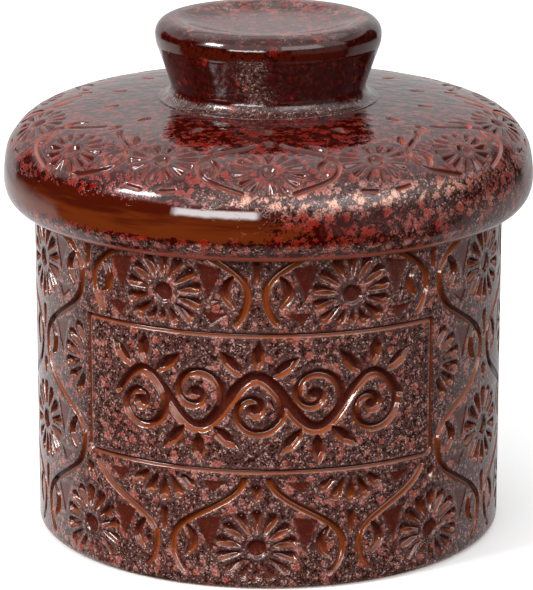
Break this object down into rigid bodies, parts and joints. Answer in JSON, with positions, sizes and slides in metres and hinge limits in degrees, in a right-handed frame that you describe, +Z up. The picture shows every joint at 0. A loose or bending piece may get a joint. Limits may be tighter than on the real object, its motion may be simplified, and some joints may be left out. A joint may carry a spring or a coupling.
{
  "type": "butter crock",
  "caption": "Round glazed stoneware crock with a loose domed lid; a flared knob stands on the lid and a bell-shaped butter cup hangs under it, into the crock.",
  "frame": {"origin": "centre of the foot ring, in the plane that the crock stands on", "axes": "+Z up along the turning axis; -Y is the front, where the framed panel is"},
  "size_m": [0.112, 0.112, 0.1094],
  "materials": {
    "crock_glaze": "glossy dark brown and brick-red speckled reactive glaze over carved stoneware",
    "lid_glaze": "glossy dark brown and brick-red speckled reactive glaze over carved stoneware",
    "knob_glaze": "glossy deep red and brown speckled reactive glaze, smooth",
    "bell_glaze": "glossy plain dark brown glaze, smooth"
  },
  "bodies": {
    "crock": {"crock_body": "crock_glaze"},
    "lid": {"lid_cover": "lid_glaze", "lid_knob": "knob_glaze", "butter_bell": "bell_glaze"}
  },
  "joints": [
    {"name": "lid_lift", "type": "slide", "parent": "crock", "child": "lid", "axis": [0, 0, 1], "range_m": [0, 0.08]}
  ]
}
